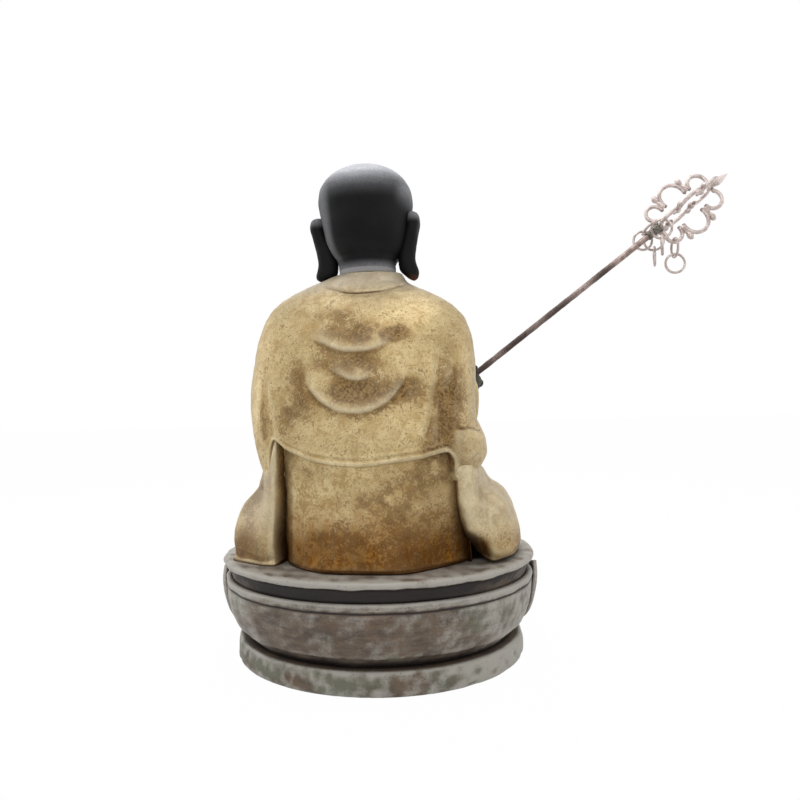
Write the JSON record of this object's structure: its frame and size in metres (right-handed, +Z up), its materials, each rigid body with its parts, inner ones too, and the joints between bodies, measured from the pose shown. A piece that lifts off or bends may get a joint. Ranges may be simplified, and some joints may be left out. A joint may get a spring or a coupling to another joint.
{
  "type": "seated figure statue",
  "caption": "Seated robed figure in gilt metal with a dark lacquered head on an oval lotus base, its right fist holding a slanted staff whose pierced scroll head carries loose rings",
  "frame": {"origin": "middle of the flat underside of the oval foot, on the surface it stands on", "axes": "+Z up, the figure faces -Y, its right hand and the staff are on -X"},
  "size_m": [0.405, 0.2086, 0.3668],
  "materials": {
    "gilt": "worn gilding over cast metal, satin",
    "lacquer": "black lacquer, semi-gloss",
    "bronze": "cast bronze with a grey-brown patina",
    "staff_metal": "dull silvered metal",
    "iron": "dark oxidised",
    "crystal": "polished"
  },
  "bodies": {
    "statue": {"foot_plinth": "bronze", "sealing_plate": "iron", "lotus_bowl": "bronze", "lotus_petal_1": "bronze", "lotus_petal_2": "bronze", "lotus_petal_3": "bronze", "lotus_petal_4": "bronze", "lotus_petal_5": "bronze", "lotus_petal_6": "bronze", "lotus_petal_7": "bronze", "lotus_petal_8": "bronze", "lotus_petal_9": "bronze", "seat_disc": "bronze", "base_rivet_1": "iron", "base_rivet_2": "iron", "front_wedge": "iron", "rear_wedge": "iron", "robe_torso": "gilt", "lap_drape": "gilt", "head": "lacquer", "neck_pin": "iron", "right_hand": "lacquer", "right_wrist_pin": "iron", "left_hand": "lacquer", "left_wrist_pin": "iron", "jewel": "crystal"},
    "staff": {"staff_shaft": "staff_metal", "staff_ferrule": "staff_metal", "staff_hub": "staff_metal", "staff_spire": "staff_metal", "finial_arm_1": "staff_metal", "finial_arm_2": "staff_metal", "finial_arm_3": "staff_metal", "finial_arm_4": "staff_metal"},
    "upper_ring_1": {"ring_1a": "staff_metal"},
    "lower_ring_1": {"ring_1b": "staff_metal"},
    "upper_ring_2": {"ring_2a": "staff_metal"},
    "lower_ring_2": {"ring_2b": "staff_metal"},
    "upper_ring_3": {"ring_3a": "staff_metal"},
    "lower_ring_3": {"ring_3b": "staff_metal"},
    "upper_ring_4": {"ring_4a": "staff_metal"},
    "lower_ring_4": {"ring_4b": "staff_metal"}
  },
  "joints": [
    {"name": "staff_draw", "type": "slide", "parent": "statue", "child": "staff", "axis": [-0.7878, -0.1389, 0.6], "range_m": [-0.01, 0.06]},
    {"name": "upper_ring_1_swing", "type": "hinge", "parent": "staff", "child": "upper_ring_1", "pos_m": [-0.225, -0.08263, 0.32605], "axis": [0.6157, -0.1542, 0.7727], "range_deg": [-10, 2]},
    {"name": "lower_ring_1_swing", "type": "hinge", "parent": "upper_ring_1", "child": "lower_ring_1", "pos_m": [-0.21566, -0.08497, 0.31815], "axis": [-0.1736, 0.9848, 0], "range_deg": [-10, 10]},
    {"name": "upper_ring_2_swing", "type": "hinge", "parent": "staff", "child": "upper_ring_2", "pos_m": [-0.22787, -0.0719, 0.32305], "axis": [0.189, 0.982, 0.0021], "range_deg": [-14, 14]},
    {"name": "lower_ring_2_swing", "type": "hinge", "parent": "upper_ring_2", "child": "lower_ring_2", "pos_m": [-0.22787, -0.07187, 0.3106], "axis": [-0.982, 0.189, 0], "range_deg": [-14, 14]},
    {"name": "upper_ring_3_swing", "type": "hinge", "parent": "staff", "child": "upper_ring_3", "pos_m": [-0.23977, -0.0814, 0.30915], "axis": [-0.9959, -0.0906, 0.0024], "range_deg": [-14, 14]},
    {"name": "lower_ring_3_swing", "type": "hinge", "parent": "upper_ring_3", "child": "lower_ring_3", "pos_m": [-0.2398, -0.08141, 0.2967], "axis": [0.0906, -0.9959, 0], "range_deg": [-14, 14]},
    {"name": "upper_ring_4_swing", "type": "hinge", "parent": "staff", "child": "upper_ring_4", "pos_m": [-0.22685, -0.09501, 0.31899], "axis": [-0.1652, -0.9863, 0.0001], "range_deg": [-14, 8]},
    {"name": "lower_ring_4_swing", "type": "hinge", "parent": "upper_ring_4", "child": "lower_ring_4", "pos_m": [-0.22685, -0.09501, 0.30654], "axis": [0.9863, -0.1652, 0], "range_deg": [-14, 14]}
  ]
}
